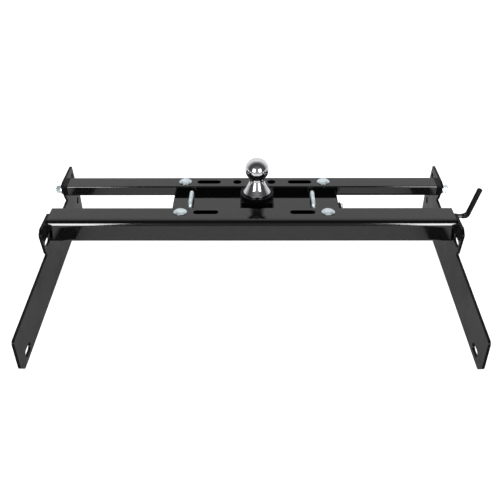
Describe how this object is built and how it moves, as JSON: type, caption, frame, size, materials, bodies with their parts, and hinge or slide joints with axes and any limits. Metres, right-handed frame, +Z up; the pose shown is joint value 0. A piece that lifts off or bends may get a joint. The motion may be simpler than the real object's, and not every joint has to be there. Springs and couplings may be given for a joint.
{
  "type": "gooseneck truck bed hitch",
  "caption": "Under-bed truck hitch: a chrome gooseneck ball in a square socket on a plate between two cross rails with side plates, chain loops and a pull-out latch handle.",
  "frame": {"origin": "centre of the small flat on top of the ball", "axes": "+X to the right along the cross rails, towards the handle; +Y away from the long plate arms; +Z up along the ball's axis"},
  "size_m": [1.102, 0.6753, 0.2978],
  "materials": {
    "black_paint": "gloss black powder coat",
    "zinc_plate": "bright zinc plate",
    "chrome": "polished chrome",
    "spring_steel": "plain spring wire",
    "dark_steel": "black oxide",
    "vinyl_grip": "matte black vinyl"
  },
  "bodies": {
    "hitch_frame": {"rear_rail": "black_paint", "front_rail": "black_paint", "rail_end_rear_left": "black_paint", "rail_end_front_left": "black_paint", "rail_end_rear_right": "black_paint", "rail_end_front_right": "black_paint", "side_plate_left": "black_paint", "side_plate_right": "black_paint", "head_top_plate": "black_paint", "head_base_plate": "black_paint", "ball_socket": "black_paint", "head_gusset_rear": "black_paint", "head_gusset_front": "black_paint", "latch_bracket": "black_paint", "handle_guide": "black_paint", "end_stud_rear_left": "zinc_plate", "end_stud_front_left": "zinc_plate", "end_stud_rear_right": "zinc_plate", "end_stud_front_right": "zinc_plate", "end_washer_rear_left": "zinc_plate", "end_washer_front_left": "zinc_plate", "end_washer_rear_right": "zinc_plate", "end_washer_front_right": "zinc_plate", "end_nut_rear_left": "zinc_plate", "end_nut_front_left": "zinc_plate", "end_nut_rear_right": "zinc_plate", "end_nut_front_right": "zinc_plate", "carriage_bolt_rear_left": "zinc_plate", "carriage_bolt_front_left": "zinc_plate", "carriage_bolt_rear_right": "zinc_plate", "carriage_bolt_front_right": "zinc_plate", "flange_nut_rear_left": "zinc_plate", "flange_nut_front_left": "zinc_plate", "flange_nut_rear_right": "zinc_plate", "flange_nut_front_right": "zinc_plate", "handle_guide_bolt": "zinc_plate", "rail_spacer_left": "dark_steel", "rail_spacer_right": "dark_steel", "ubolt_spring_left_rear": "spring_steel", "ubolt_spring_left_front": "spring_steel", "ubolt_spring_right_rear": "spring_steel", "ubolt_spring_right_front": "spring_steel", "latch_spring": "spring_steel"},
    "hitch_ball": {"gooseneck_ball": "chrome"},
    "latch_slider": {"latch_pin": "dark_steel", "latch_collar": "zinc_plate", "latch_retaining_pin": "spring_steel"},
    "latch_handle": {"handle_rod": "dark_steel", "handle_grip": "vinyl_grip"},
    "left_loop": {"ubolt_left": "zinc_plate", "ubolt_washer_left_rear": "zinc_plate", "ubolt_washer_left_front": "zinc_plate", "ubolt_nut_left_rear": "zinc_plate", "ubolt_nut_left_front": "zinc_plate"},
    "right_loop": {"ubolt_right": "zinc_plate", "ubolt_washer_right_rear": "zinc_plate", "ubolt_washer_right_front": "zinc_plate", "ubolt_nut_right_rear": "zinc_plate", "ubolt_nut_right_front": "zinc_plate"}
  },
  "joints": [
    {"name": "ball_lift", "type": "slide", "parent": "hitch_frame", "child": "hitch_ball", "axis": [0, 0, 1], "range_m": [0, 0.1]},
    {"name": "latch_slide", "type": "slide", "parent": "hitch_frame", "child": "latch_slider", "axis": [1, 0, 0], "range_m": [-0.03, 0]},
    {"name": "handle_turn", "type": "hinge", "parent": "latch_slider", "child": "latch_handle", "pos_m": [0.3, 0, -0.1615], "axis": [1, 0, 0], "range_deg": [-90, 90]},
    {"name": "left_loop_lift", "type": "slide", "parent": "hitch_frame", "child": "left_loop", "axis": [0, 0, 1], "range_m": [0, 0.022], "stiffness_N_per_m": 1500, "springref_m": -0.006, "deforming": ["ubolt_spring_left_rear", "ubolt_spring_left_front"]},
    {"name": "right_loop_lift", "type": "slide", "parent": "hitch_frame", "child": "right_loop", "axis": [0, 0, 1], "range_m": [0, 0.022], "stiffness_N_per_m": 1500, "springref_m": -0.006, "deforming": ["ubolt_spring_right_rear", "ubolt_spring_right_front"]}
  ]
}
